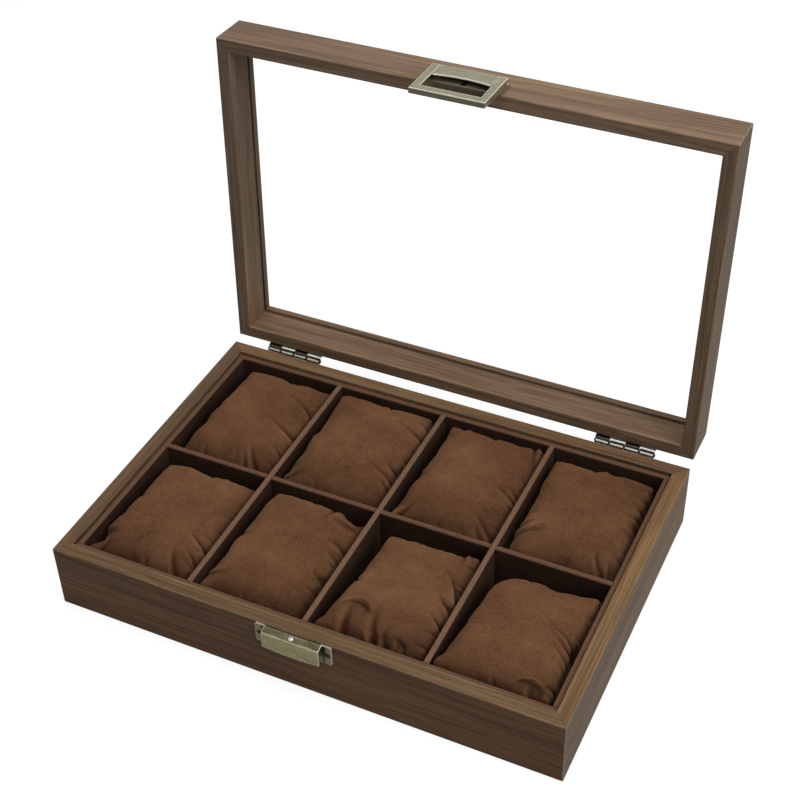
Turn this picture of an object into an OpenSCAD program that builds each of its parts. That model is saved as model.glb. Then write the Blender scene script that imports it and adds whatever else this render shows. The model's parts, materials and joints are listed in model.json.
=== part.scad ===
// Watch box: a wood-wrapped tray of eight cushions under a hinged glass lid.
//
// X runs along the width, Y from the front to the back and Z up.
// The origin is the centre of the underside. The lid's parts are drawn shut,
// and swing_open() turns them back to the stop that the open lid rests on.

/* [Base] */
// Width of the box
body_w = 295; // [260:1:360]
// Depth of the box, from front face to back face
body_d = 200; // [170:1:260]
// Height of the base, up to its rim
base_h = 41.5; // [38:0.5:56]
// Thickness of the base walls
wall_t = 8.4; // [6.5:0.1:12]
// Radius of the softened wood edges
edge_r = 0.8; // [0.4:0.1:1.5]
// Thickness of the bottom panel
panel_t = 3; // [2:0.1:5]
// Thickness of the felt under the bottom panel
felt_t = 1; // [0.6:0.1:2]
// Depth of the rebate that holds the panel and the felt
rebate_d = 4; // [2:0.1:5]

/* [Tray] */
// Thickness of the suede boards that line the walls
liner_t = 3; // [2:0.1:4.5]
// Thickness of the dividers
divider_t = 3; // [2:0.1:4.5]
// Thickness of the tray's floor board
floor_t = 2; // [1.5:0.1:4]
// Depth of the lining's top edge below the rim
liner_drop = 1.8; // [0.5:0.1:4]
// Gap between the lining and the base walls
tray_gap = 0.3; // [0.2:0.1:1.5]

/* [Cushions] */
// Height of a cushion
cushion_h = 35.5; // [24:0.5:38]
// Gap between a cushion and the dividers beside it
cushion_side_gap = 1.8; // [0.3:0.1:3]
// Gap between a cushion and the boards at its ends
cushion_end_gap = 2.4; // [0.3:0.1:4]
// How far the sides pull in between the corners
cushion_pull = 1.6; // [0:0.1:4]
// How square the cushion's section is, from 2 for an oval
cushion_square = 3.4; // [2:0.1:6]

/* [Lid] */
// Height of the lid frame
lid_h = 26; // [22:0.5:36]
// Thickness of the lid's rails
rail_t = 7.9; // [6.5:0.1:12]
// Gap between the rim and the shut lid
lid_gap = 1; // [0.8:0.1:1.5]
// Angle from shut to the open stop
lid_angle = 92.4; // [88:0.1:105]
// Thickness of the glass
glass_t = 2; // [1.5:0.1:3]
// Depth of the groove that holds the glass
groove_d = 4; // [2.5:0.1:5]
// Width of rail left above the groove
groove_top = 4.6; // [3:0.1:8]
// Play of the glass in its groove, on each face
glass_play = 0.2; // [0.1:0.05:0.4]

/* [Hinges] */
// Length of each hinge
hinge_l = 36; // [24:1:50]
// Distance from the side of the box to the hinge
hinge_inset = 22; // [12:0.5:50]
// Distance of the hinge axis behind the back face
axis_out = 2.9; // [2.5:0.1:4]
// Distance of the hinge axis below the rim
axis_drop = 0.9; // [0.5:0.1:1.6]
// Radius of the hinge barrel
barrel_r = 1.6; // [1.4:0.05:2]
// Radius of the hinge pin
hinge_pin_r = 0.8; // [0.6:0.05:0.9]
// Thickness of the hinge leaves
leaf_t = 0.9; // [0.6:0.05:1.1]
// Height of a hinge leaf, from the axis to its far edge
leaf_h = 12; // [9:0.5:16]
// Gap between neighbouring knuckles
knuckle_gap = 0.4; // [0.1:0.05:0.6]

/* [Catch and latch] */
// Thickness of the brass sheet
sheet_t = 0.8; // [0.6:0.05:1]
// Width of the catch plate and of the latch plate
plate_w = 44; // [40:0.5:60]
// Height of both plates
plate_h = 13; // [12:0.5:15]
// Width of the raised channel on both plates
channel_w = 32.8; // [28:0.2:34]
// Distance from the wood to the channel's outer face
channel_out = 4.8; // [4.4:0.1:6]
// Fall of the catch's top towards its outer face
channel_fall = 1.6; // [0.8:0.1:2.4]
// Depth of the catch's front face
catch_face_h = 10.4; // [9:0.1:12]
// Bow of the catch's lower edge
catch_bow = 0.9; // [0.3:0.1:1.5]
// Fall of the hood's top towards its outer face
hood_fall = 1; // [0.8:0.1:1.2]
// Depth of the latch hood's front face
hood_face_h = 12.3; // [10.4:0.1:12.6]
// Hollow of the hood's lower edge
hood_bow = 1.8; // [0.5:0.1:2.2]
// Distance of the catch below the rim
catch_drop = 0.7; // [0.4:0.1:3]
// Distance of the latch plate above the lid's lower edge
plate_rise = 0.2; // [0.1:0.1:3]
// Width of the latch frame
frame_w = 42.4; // [42:0.1:50]
// Distance from the wood to the frame's outer face
frame_out = 5.5; // [5.4:0.1:6.6]
// Width of the frame's lower bar
frame_bar = 5.3; // [4:0.1:8]
// Depth of the frame's turned-in edges
frame_flange = 3; // [2.4:0.1:3.4]
// Depth of the latch pivot below the top of the latch plate
pivot_drop = 3.2; // [3.2:0.1:4]
// Distance from the wood to the latch pivot
pivot_out = 2.7; // [2.5:0.05:2.9]
// Radius of the latch pin
latch_pin_r = 0.7; // [0.5:0.05:0.8]
// Width of the latch's leaf spring
spring_w = 3; // [2:0.1:6]
// Thickness of the latch's leaf spring
spring_t = 0.4; // [0.3:0.05:0.6]
// Width of metal left in the plate below the spring's slot
slot_edge = 0.9; // [0.6:0.1:2]
// Radius of the catch stud's head
stud_r = 1.5; // [1:0.05:1.8]

/* [Screws] */
// Radius of the screw heads
screw_head_r = 1.7; // [1.3:0.05:2]
// Height of the screw heads
screw_head_h = 0.6; // [0.4:0.05:0.7]
// Radius of the screw shanks
screw_r = 0.9; // [0.6:0.05:1.1]
// Length of the screw shanks
screw_l = 5; // [3:0.1:6]

/* [Fits] */
// Play of a pin or a screw in its hole
pin_play = 0.05; // [0.02:0.01:0.09]
// Play of the halved joints between the dividers
lap_play = 0.1; // [0.05:0.01:0.3]
// Play of the latch frame beside the catch
latch_play = 0.6; // [0.2:0.05:0.8]
// Gap between the catch's lower edge and the lip that hooks under it
hook_gap = 1.1; // [0.5:0.1:2.5]
// Play of the leaf spring in its slot, on each side
spring_play = 0.2; // [0.1:0.05:0.4]
// Height of the cushions off the tray's floor
cushion_seat = 0.3; // [0.2:0.05:1]

/* [Hidden] */

columns = 4;
rows = 2;
knuckles = 4;
round_fn = 40;
bore_fn = 32;
eps = 0.01;
big = 1000;

wood = [0.42, 0.33, 0.25];
suede = [0.36, 0.25, 0.19];
cushion_suede = [0.45, 0.28, 0.18];
felt = [0.20, 0.16, 0.13];
board = [0.55, 0.43, 0.30];
brass = [0.55, 0.52, 0.38];
nickel = [0.78, 0.76, 0.70];
clear = [0.85, 0.92, 0.92, 0.35];

// Heights in the base
panel_top = felt_t + panel_t;
tray_top = panel_top + floor_t;
lining_top = base_h - liner_drop;

// Tray, and the cells that its dividers leave
tray_w = body_w - 2 * (wall_t + tray_gap);
tray_d = body_d - 2 * (wall_t + tray_gap);
cells_w = tray_w - 2 * liner_t;
cells_d = tray_d - 2 * liner_t;
cell_w = (cells_w - (columns - 1) * divider_t) / columns;
cell_d = (cells_d - (rows - 1) * divider_t) / rows;
lining_h = lining_top - tray_top;

// Cushions
cushion_w = cell_w - 2 * cushion_side_gap;
cushion_l = cell_d - 2 * cushion_end_gap;
cushion_nx = 12;
cushion_ny = 14;

// Lid, drawn shut
lid_z = base_h + lid_gap;
groove_w = glass_t + 2 * glass_play;
groove_z = lid_h - groove_top - groove_w;
glass_bite = groove_d - 0.5;

// Hinge axis, and where the leaves and their fingers lie
axis_y = body_d / 2 + axis_out;
axis_z = base_h - axis_drop;
hinge_x = body_w / 2 - hinge_inset - hinge_l / 2;
knuckle_pitch = hinge_l / knuckles;
finger_reach = barrel_r + 0.5;
leaf_screw_x = hinge_l * 0.3;
leaf_screw_z = (finger_reach + leaf_h) / 2;
lug_out = 0.3;
leaf_sweep = sqrt(pow(axis_out - leaf_t, 2) + pow(finger_reach, 2));
lug_h = sqrt(pow(leaf_sweep - 0.15, 2) - pow(lug_out + leaf_t, 2));

// Catch and latch
catch_top = base_h - catch_drop;
catch_low = catch_top - channel_fall - catch_face_h - catch_bow;
latch_plate_top = lid_z + plate_rise + plate_h;
hood_low = latch_plate_top - hood_fall - hood_face_h;
slope_out = channel_out - sheet_t / 2;
slope_fall = channel_fall - sheet_t / 4;
stud_share = 0.6;
pin_over = 0.3;
window_w = channel_w + 2 * latch_play;
frame_rest = latch_play * 0.8;
window_low = catch_low - hook_gap;
frame_low = window_low - frame_bar;
frame_lip = sheet_t + 1.2;
pivot_z = latch_plate_top - pivot_drop;
lobe_r = latch_pin_r + 0.9;
pivot_lug_x = channel_w / 2 - 6;
ear_x = plate_w / 2 - screw_head_r - 0.6;
slot_low = lid_z + plate_rise + slot_edge;
slot_top = pivot_z - 1.4;

// ---- Shapes shared by several parts ----

// Rectangle from the origin with four round corners
module soft_rect(w, h, r) {
    translate([r, 0]) square([w - 2 * r, h]);
    translate([0, r]) square([w, h - 2 * r]);
    for (x = [r, w - r], y = [r, h - r])
        translate([x, y]) circle(r, $fn = round_fn);
}

// Carries a profile drawn as [y, z] along X, centred
module run_along_x(length) {
    rotate([90, 0, 90]) linear_extrude(length, center = true) children();
}

// One mitred side of a frame, at its front; the child is the section as [y, z]
module mitred_side(length, depth, t, h) {
    intersection() {
        translate([0, -depth / 2, 0]) run_along_x(length) children();
        linear_extrude(h) intersection() {
            translate([-length / 2, -depth / 2]) soft_rect(length, depth, edge_r);
            polygon([
                [-length / 2, -depth / 2], [length / 2, -depth / 2],
                [length / 2 - t, -depth / 2 + t], [-length / 2 + t, -depth / 2 + t]
            ]);
        }
    }
}

// Screw with a rounded head, its seat at the origin and its head towards +Z
module screw() {
    translate([0, 0, -screw_l]) cylinder(screw_l, screw_r, screw_r, $fn = bore_fn);
    intersection() {
        cylinder(screw_head_h, screw_head_r, screw_head_r, $fn = round_fn);
        translate([0, 0, screw_head_h - screw_head_r * 1.5])
            sphere(screw_head_r * 1.5, $fn = round_fn);
    }
}

// Hole for a screw, from its seat inwards
module screw_hole(depth) {
    translate([0, 0, -depth]) cylinder(
        depth + sheet_t + leaf_t, screw_r + pin_play, screw_r + pin_play, $fn = bore_fn);
}

// ---- Base ----

module base_section() {
    difference() {
        soft_rect(wall_t, base_h, edge_r);
        translate([wall_t - rebate_d, -eps]) square([rebate_d + eps, panel_top + eps]);
    }
}

module base_side(length, depth) {
    color(wood) mitred_side(length, depth, wall_t, base_h) base_section();
}

module front_wall() {
    color(wood) difference() {
        base_side(body_w, body_d);
        catch_screw_places() screw_hole(screw_l + eps);
    }
}

module back_wall() {
    color(wood) difference() {
        rotate([0, 0, 180]) base_side(body_w, body_d);
        base_leaf_screw_places() screw_hole(screw_l + eps);
    }
}

module left_wall() {
    rotate([0, 0, -90]) base_side(body_d, body_w);
}

module right_wall() {
    rotate([0, 0, 90]) base_side(body_d, body_w);
}

module in_rebate(z, t) {
    w = body_w - 2 * (wall_t - rebate_d);
    d = body_d - 2 * (wall_t - rebate_d);
    translate([-w / 2, -d / 2, z]) cube([w, d, t]);
}

module bottom_panel() {
    color(board) in_rebate(felt_t, panel_t);
}

module bottom_felt() {
    color(felt) in_rebate(0, felt_t);
}

// ---- Tray ----

module tray_floor() {
    color(suede) translate([-tray_w / 2, -tray_d / 2, panel_top]) cube([tray_w, tray_d, floor_t]);
}

// Suede board that stands on the tray's floor, with a soft top edge
module lining_board(length, t) {
    run_along_x(length) {
        square([t, lining_h - t / 4]);
        translate([t / 4, 0]) square([t / 2, lining_h]);
        for (y = [t / 4, t * 3 / 4])
            translate([y, lining_h - t / 4]) circle(t / 4, $fn = round_fn);
    }
}

module liner_long(side) {
    y = side > 0 ? tray_d / 2 - liner_t : -tray_d / 2;
    color(suede) translate([0, y, tray_top]) lining_board(tray_w, liner_t);
}

module liner_short(side) {
    x = side > 0 ? tray_w / 2 : -tray_w / 2 + liner_t;
    color(suede) translate([x, 0, tray_top]) rotate([0, 0, 90]) lining_board(cells_d, liner_t);
}

// Place of a cross divider's middle plane, from 1 on the left
function divider_x(i) = -cells_w / 2 + i * (cell_w + divider_t) - divider_t / 2;

// Slot of a halved joint, open towards the side that is away from z
module lap_slot(x, y, z) {
    gap = divider_t + 2 * lap_play;
    translate([x - gap / 2, y - gap / 2, z]) cube([gap, gap, lining_h]);
}

module long_divider() {
    color(suede) difference() {
        translate([0, -divider_t / 2, tray_top]) lining_board(cells_w, divider_t);
        for (i = [1:columns - 1])
            lap_slot(divider_x(i), 0, tray_top + lining_h / 2 - lap_play / 2);
    }
}

module cross_divider(i) {
    color(suede) difference() {
        translate([divider_x(i) + divider_t / 2, 0, tray_top])
            rotate([0, 0, 90]) lining_board(cells_d, divider_t);
        lap_slot(divider_x(i), 0, tray_top - lining_h / 2 + lap_play / 2);
    }
}

// ---- Cushions ----

// Places from -1 to 1 that crowd towards both ends
function crowd(k, n) = -cos(180 * k / n);
function swell(t) = sqrt(max(0, 1 - pow(abs(t), cushion_square)));
function on_seam(i, j) = i == 0 || i == cushion_nx || j == 0 || j == cushion_ny;

// Point of the cushion's face: side is 1 on top and -1 underneath
function cushion_point(i, j, side) =
    let (u = crowd(i, cushion_nx), v = crowd(j, cushion_ny))
    [
        u * (cushion_w / 2 - cushion_pull * (1 - v * v)),
        v * (cushion_l / 2 - cushion_pull * (1 - u * u)),
        on_seam(i, j) ? 0 : side * cushion_h / 2 * swell(u) * swell(v)
    ];

function top_id(i, j) = i * (cushion_ny + 1) + j;
function under_id(i, j) = on_seam(i, j)
    ? top_id(i, j)
    : (cushion_nx + 1) * (cushion_ny + 1) + (i - 1) * (cushion_ny - 1) + j - 1;

// The two triangles of one patch, split so that no triangle lies flat in a corner
function patch(a, b, c, d, split_bd) = split_bd ? [[a, b, d], [b, c, d]] : [[a, b, c], [a, c, d]];

function patches(top) = [
    for (i = [0:cushion_nx - 1], j = [0:cushion_ny - 1])
        let (
            s = (i < cushion_nx / 2) != (j < cushion_ny / 2),
            ids = [for (p = [[i, j], [i, j + 1], [i + 1, j + 1], [i + 1, j]])
                top ? top_id(p[0], p[1]) : under_id(p[0], p[1])],
            faces = patch(ids[0], ids[1], ids[2], ids[3], s)
        )
        for (f = faces) top ? f : [f[2], f[1], f[0]]
];

module cushion_shape() {
    polyhedron(
        points = concat(
            [for (i = [0:cushion_nx], j = [0:cushion_ny]) cushion_point(i, j, 1)],
            [for (i = [1:cushion_nx - 1], j = [1:cushion_ny - 1]) cushion_point(i, j, -1)]
        ),
        faces = concat(patches(true), patches(false))
    );
}

// Cushions are numbered from the back left, then from the front left
module cushion(number) {
    column = (number - 1) % columns;
    row = floor((number - 1) / columns);
    x = -cells_w / 2 + cell_w / 2 + column * (cell_w + divider_t);
    y = cells_d / 2 - cell_d / 2 - row * (cell_d + divider_t);
    color(cushion_suede)
        translate([x, y, tray_top + cushion_seat + cushion_h / 2]) cushion_shape();
}

// ---- Lid frame and glass ----

// Swings a part that is drawn shut back about the hinge axis
module swing_open() {
    translate([0, axis_y, axis_z]) rotate([-lid_angle, 0, 0])
        translate([0, -axis_y, -axis_z]) children();
}

module rail_section() {
    difference() {
        soft_rect(rail_t, lid_h, edge_r);
        translate([rail_t - groove_d, groove_z]) square([groove_d + eps, groove_w]);
    }
}

module lid_side(length, depth) {
    translate([0, 0, lid_z]) mitred_side(length, depth, rail_t, lid_h) rail_section();
}

module lid_front_rail() {
    color(wood) swing_open() difference() {
        lid_side(body_w, body_d);
        latch_screw_places() screw_hole(screw_l + eps);
    }
}

module lid_back_rail() {
    color(wood) swing_open() difference() {
        rotate([0, 0, 180]) lid_side(body_w, body_d);
        lid_leaf_screw_places() screw_hole(screw_l + eps);
    }
}

module lid_left_rail() {
    color(wood) swing_open() rotate([0, 0, -90]) lid_side(body_d, body_w);
}

module lid_right_rail() {
    color(wood) swing_open() rotate([0, 0, 90]) lid_side(body_d, body_w);
}

module lid_glass() {
    w = body_w - 2 * (rail_t - glass_bite);
    d = body_d - 2 * (rail_t - glass_bite);
    color(clear) swing_open()
        translate([-w / 2, -d / 2, lid_z + groove_z + glass_play]) cube([w, d, glass_t]);
}

// ---- Hinges ----
// Knuckles are numbered from the left. The lid carries 0 and 2, the base 1 and 3.

function knuckle_x(k) = -hinge_l / 2 + (k + 0.5) * knuckle_pitch;

// One leaf as it lies on the back face, its axis at the origin and its plate towards side
module leaf(first, side) {
    difference() {
        union() {
            translate([-hinge_l / 2, -axis_out, side > 0 ? finger_reach : -leaf_h])
                cube([hinge_l, leaf_t, leaf_h - finger_reach]);
            for (k = [first:2:knuckles - 1])
                translate([knuckle_x(k), 0, 0]) knuckle(side);
        }
        rotate([0, 90, 0]) cylinder(
            hinge_l + 2, hinge_pin_r + pin_play, hinge_pin_r + pin_play, center = true, $fn = bore_fn);
        for (x = [-leaf_screw_x, leaf_screw_x])
            translate([x, leaf_t - axis_out, side * leaf_screw_z]) rotate([-90, 0, 0])
                screw_hole(leaf_t + eps);
    }
}

// Barrel, the web that carries it and the finger down to the plate.
// The base's knuckles also have a stop lug, which the lid's leaf comes up to.
module knuckle(side) {
    l = knuckle_pitch - knuckle_gap;
    low = side > 0 ? 0 : -leaf_t;
    rotate([0, 90, 0]) cylinder(l, barrel_r, barrel_r, center = true, $fn = bore_fn);
    translate([-l / 2, -axis_out, low]) cube([l, axis_out, leaf_t]);
    translate([-l / 2, -axis_out, side > 0 ? 0 : -finger_reach - eps])
        cube([l, leaf_t, finger_reach + eps]);
    if (side < 0)
        translate([-l / 2, lug_out, 0]) cube([l, leaf_t, lug_h]);
}

module at_hinge(side) {
    translate([side * hinge_x, axis_y, axis_z]) children();
}

module base_leaf(side) {
    color(nickel) at_hinge(side) leaf(1, -1);
}

module lid_leaf(side) {
    color(nickel) swing_open() at_hinge(side) leaf(0, 1);
}

module hinge_pin(side) {
    color(nickel) at_hinge(side) rotate([0, 90, 0])
        cylinder(hinge_l + 0.6, hinge_pin_r, hinge_pin_r, center = true, $fn = bore_fn);
}

// Seats of the screws in both hinges' leaves; side is 1 on the lid and -1 on the base
module leaf_screw_places(side) {
    for (s = [-1, 1], x = [-leaf_screw_x, leaf_screw_x])
        translate([s * hinge_x + x, body_d / 2 + leaf_t, axis_z + side * leaf_screw_z])
            rotate([-90, 0, 0]) children();
}

module base_leaf_screw_places() {
    leaf_screw_places(-1) children();
}

module lid_leaf_screw_places() {
    leaf_screw_places(1) children();
}

module base_hinge_screws() {
    color(nickel) base_leaf_screw_places() screw();
}

module lid_hinge_screws() {
    color(nickel) swing_open() lid_leaf_screw_places() screw();
}

// ---- Catch on the base and latch on the lid ----
// Both are drawn on the front face: a section's first value is -Y, out from the wood.

// Turns a section drawn as [out, z] into a bar along X, in front of the front face
module bent_bar(length) {
    translate([0, -body_d / 2, 0]) rotate([90, 0, -90])
        linear_extrude(length, center = true) children();
}

// Section of the raised channel: a sloping top, and a front face that hangs free
module channel_section(top, fall, face_h) {
    slope_z = top - fall;
    polygon([
        [0, top], [slope_out, slope_z + sheet_t / 4],
        [channel_out, slope_z - sheet_t / 3],
        [channel_out, slope_z - face_h],
        [channel_out - sheet_t, slope_z - face_h],
        [channel_out - sheet_t, slope_z - sheet_t],
        [sheet_t, top - sheet_t - fall * sheet_t / channel_out], [0, top - 2 * sheet_t]
    ]);
}

// Cuts a front face to a bowed lower edge whose middle lies at z
module bowed_cut(z, bow, hollow) {
    bow_r = channel_w * channel_w / (8 * bow) + bow / 2;
    centre_z = hollow ? z - bow_r : z + bow_r;
    translate([0, 0, centre_z]) rotate([90, 0, 0])
        translate([0, 0, body_d / 2 + channel_out / 2])
            cylinder(channel_out, bow_r, bow_r, $fn = 4 * round_fn);
}

// Plate against the wood, with an ear and a screw hole on each side of the channel
module eared_plate(top) {
    translate([0, -body_d / 2, top - plate_h]) rotate([90, 0, 0]) linear_extrude(sheet_t)
        translate([-plate_w / 2, 0]) soft_rect(plate_w, plate_h, 1);
}

// Seats of the two screws in a plate's ears
module ear_screw_places(top) {
    for (x = [-ear_x, ear_x])
        translate([x, -body_d / 2 - sheet_t, top - plate_h / 2]) rotate([90, 0, 0]) children();
}

module catch_screw_places() {
    ear_screw_places(catch_top) children();
}

module latch_screw_places() {
    ear_screw_places(latch_plate_top) children();
}

// Seat of the stud on the catch's sloping top
module catch_stud_place() {
    translate([0, -body_d / 2 - slope_out * stud_share, catch_top - slope_fall * stud_share])
        rotate([atan(slope_fall / slope_out), 0, 0]) children();
}

module catch_plate() {
    color(brass) difference() {
        union() {
            eared_plate(catch_top);
            intersection() {
                bent_bar(channel_w) channel_section(catch_top, channel_fall, catch_face_h + catch_bow);
                union() {
                    translate([-plate_w / 2, -body_d / 2 - channel_out / 2, 0])
                        cube([plate_w, channel_out / 2, base_h]);
                    bowed_cut(catch_low, catch_bow, false);
                }
            }
        }
        catch_screw_places() screw_hole(sheet_t + eps);
        catch_stud_place() cylinder(
            4 * sheet_t, stud_r / 2 + pin_play, stud_r / 2 + pin_play, center = true, $fn = bore_fn);
    }
}

// Domed stud riveted into the catch's top
module catch_stud() {
    color(nickel) catch_stud_place() {
        translate([0, 0, -sheet_t * 1.4])
            cylinder(sheet_t * 1.4, stud_r / 2, stud_r / 2, $fn = bore_fn);
        intersection() {
            cylinder(stud_r, stud_r, stud_r, $fn = round_fn);
            translate([0, 0, -stud_r * 0.4]) sphere(stud_r * 1.1, $fn = round_fn);
        }
    }
}

module catch_screws() {
    color(brass) catch_screw_places() screw();
}

// Lug bent out from the latch plate that the pin runs through
module pivot_lugs() {
    for (x = [-pivot_lug_x, pivot_lug_x])
        translate([x, 0, 0]) bent_bar(3) {
            translate([pivot_out, pivot_z]) circle(lobe_r, $fn = round_fn);
            translate([0, pivot_z - lobe_r]) square([pivot_out, lobe_r * 2]);
        }
}

module pivot_bore() {
    translate([0, -body_d / 2 - pivot_out, pivot_z]) rotate([0, 90, 0]) cylinder(
        frame_w + 2, latch_pin_r + pin_play, latch_pin_r + pin_play, center = true, $fn = bore_fn);
}

// Slot in the latch plate that shows the leaf spring
module spring_slot() {
    w = spring_w + 2 * spring_play;
    translate([-w / 2, -body_d / 2 - sheet_t - eps, slot_low])
        cube([w, sheet_t + 2 * eps, slot_top - slot_low]);
}

// Plate, hood over the pivot and the lugs that hold the pin
module latch_plate() {
    color(brass) swing_open() difference() {
        union() {
            difference() {
                eared_plate(latch_plate_top);
                spring_slot();
            }
            pivot_lugs();
            difference() {
                bent_bar(channel_w) channel_section(latch_plate_top, hood_fall, hood_face_h);
                bowed_cut(hood_low + hood_bow, hood_bow, true);
            }
        }
        latch_screw_places() screw_hole(sheet_t + eps);
        pivot_bore();
    }
}

// Leaf spring in the plate's slot, bent out at its top to press on the pin
module latch_spring() {
    low = slot_low + spring_play;
    bend = slot_top - spring_play - 1.2;
    tip = pivot_out - latch_pin_r - pin_play;
    color(nickel) swing_open() bent_bar(spring_w) polygon([
        [pin_play, low], [pin_play + spring_t, low], [pin_play + spring_t, bend - 0.4],
        [tip, pivot_z - 0.4], [tip, pivot_z + 0.4], [tip - spring_t, pivot_z + 0.4],
        [tip - spring_t, pivot_z - 0.2], [pin_play, bend]
    ]);
}

module latch_screws() {
    color(brass) swing_open() latch_screw_places() screw();
}

// Section of the frame's side edge, with the round lobe that the pin holds
module arm_section() {
    translate([pivot_out, pivot_z]) circle(lobe_r, $fn = round_fn);
    polygon([
        [pivot_out - lobe_r * 0.8, pivot_z - lobe_r * 0.6], [frame_out - frame_flange, frame_low],
        [frame_out, frame_low], [frame_out, pivot_z + lobe_r * 0.3],
        [pivot_out + lobe_r * 0.6, pivot_z + lobe_r * 0.8]
    ]);
}

// Face of the frame as [x, z]: two arms and a lower bar round the window
module frame_face() {
    top = pivot_z + lobe_r * 0.3;
    difference() {
        translate([-frame_w / 2, frame_low]) square([frame_w, top - frame_low]);
        translate([-window_w / 2, window_low]) square([window_w, top - window_low + eps]);
    }
}

// Bail that swings on the pin: its window drops over the catch and hooks under it.
// It rests slid to one side of the play that it has on the pin.
module latch_frame() {
    color(brass) swing_open() translate([frame_rest, 0, 0]) difference() {
        union() {
            translate([0, -body_d / 2 - frame_out + sheet_t, 0]) rotate([90, 0, 0])
                linear_extrude(sheet_t) frame_face();
            for (x = [-1, 1])
                translate([x * (frame_w - sheet_t) / 2, 0, 0]) bent_bar(sheet_t) arm_section();
            bent_bar(frame_w) translate([frame_out - frame_flange, frame_low])
                square([frame_flange, sheet_t]);
            bent_bar(window_w) translate([frame_out - frame_lip, window_low - sheet_t])
                square([frame_lip, sheet_t]);
        }
        pivot_bore();
    }
}

module latch_pin() {
    color(nickel) swing_open() translate([0, -body_d / 2 - pivot_out, pivot_z])
        rotate([0, 90, 0])
            cylinder(frame_w + 2 * pin_over, latch_pin_r, latch_pin_r, center = true, $fn = bore_fn);
}

front_wall();
back_wall();
left_wall();
right_wall();
bottom_panel();
bottom_felt();
tray_floor();
liner_long(-1);  // liner_front
liner_long(1);  // liner_back
liner_short(-1);  // liner_left
liner_short(1);  // liner_right
long_divider();
cross_divider(1);  // cross_divider_1
cross_divider(2);  // cross_divider_2
cross_divider(3);  // cross_divider_3
cushion(1);  // cushion_1
cushion(2);  // cushion_2
cushion(3);  // cushion_3
cushion(4);  // cushion_4
cushion(5);  // cushion_5
cushion(6);  // cushion_6
cushion(7);  // cushion_7
cushion(8);  // cushion_8
catch_plate();
catch_stud();
catch_screws();
base_leaf(-1);  // hinge_left_base_leaf
base_leaf(1);  // hinge_right_base_leaf
hinge_pin(-1);  // hinge_left_pin
hinge_pin(1);  // hinge_right_pin
base_hinge_screws();
lid_front_rail();
lid_back_rail();
lid_left_rail();
lid_right_rail();
lid_glass();
lid_leaf(-1);  // hinge_left_lid_leaf
lid_leaf(1);  // hinge_right_lid_leaf
lid_hinge_screws();
latch_plate();
latch_spring();
latch_screws();
latch_frame();
latch_pin();
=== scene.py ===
"""Watch box: the finishes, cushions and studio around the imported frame.

Lengths are in metres. X runs along the width, Y from front to back and Z up.
The lid's pieces lie open in the frame; their wood grain is worked out as if shut.
"""

import json
import math
import random

import bpy
import numpy as np
from mathutils import Matrix, Vector
from mathutils import noise as turbulence


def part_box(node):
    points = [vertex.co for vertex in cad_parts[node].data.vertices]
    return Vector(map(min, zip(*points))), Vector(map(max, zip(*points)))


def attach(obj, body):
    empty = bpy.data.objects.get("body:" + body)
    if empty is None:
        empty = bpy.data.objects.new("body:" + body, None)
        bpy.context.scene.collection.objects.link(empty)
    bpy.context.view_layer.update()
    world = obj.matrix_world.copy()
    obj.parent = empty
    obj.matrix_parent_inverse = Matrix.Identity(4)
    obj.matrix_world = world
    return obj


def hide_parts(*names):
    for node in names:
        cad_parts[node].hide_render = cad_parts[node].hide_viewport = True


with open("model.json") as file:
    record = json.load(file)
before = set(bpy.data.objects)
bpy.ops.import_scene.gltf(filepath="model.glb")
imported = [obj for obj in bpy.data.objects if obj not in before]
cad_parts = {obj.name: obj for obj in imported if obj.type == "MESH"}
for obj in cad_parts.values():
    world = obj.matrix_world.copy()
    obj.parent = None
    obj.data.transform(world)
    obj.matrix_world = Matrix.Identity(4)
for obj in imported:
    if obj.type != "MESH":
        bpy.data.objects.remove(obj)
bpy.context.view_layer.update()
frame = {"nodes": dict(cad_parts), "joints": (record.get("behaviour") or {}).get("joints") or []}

MM = 0.001
NOISE_SEED = 8  # without one, the noise would differ in each run
turbulence.seed_set(NOISE_SEED)
NODES = frame["nodes"]
JOINTS = {j["name"]: j for j in frame["joints"]}


# ---- Sizes of the box, read from the frame ----

BOX_W = 2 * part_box("right_wall")[1].x
BOX_D = 2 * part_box("back_wall")[1].y
RIM_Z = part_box("front_wall")[1].z
WALL_T = BOX_W / 2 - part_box("right_wall")[0].x
RAIL_T = BOX_W / 2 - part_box("lid_right_rail")[0].x
LINING_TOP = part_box("long_divider")[1].z
LID_HINGE = Vector(JOINTS["lid_hinge"]["pos_m"])
LID_ANGLE = math.radians(JOINTS["lid_hinge"]["range_deg"][1])
LUG_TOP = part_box("hinge_left_base_leaf")[1].z - LID_HINGE.z
HINGE_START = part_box("hinge_right_base_leaf")[0].x
KNUCKLE_PITCH = (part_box("hinge_right_base_leaf")[1].x - HINGE_START) / 4
KNUCKLE_R = 1.65 * MM
CHANNEL_HALF = 16.4 * MM  # half the width of the catch's channel, and of the hood
EAR_T = 0.85 * MM
LID_GAP = 1.0 * MM
LID_H = 26 * MM


# ---- Camera, lights and floor ----

VIEW_TURN = 26.074
VIEW_RISE = 39.957
VIEW_ROLL = -1.571
VIEW_DISTANCE = 918.146 * MM
VIEW_TARGET = Vector((-28.314 * MM, 88.720 * MM, RIM_Z))
LENS = 69.08

LAMP_TARGET = Vector((0, 0.04, 0.08))
ROOM_LIGHT = 0.13
ROOM_COLOR = (1.0, 0.985, 0.96)
# brightness of the wall and the ceiling in polished pieces, and the heights between them
WALL_GLOSS = 0.80
CEILING_GLOSS = 0.12
CEILING_EDGE = (0.70, 0.93)
FLOOR_HALF = 4
FLOOR_TONE = 0.30
FLOOR_GLOW = 0.83
FLOOR_GLOSS = 0.25


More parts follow.
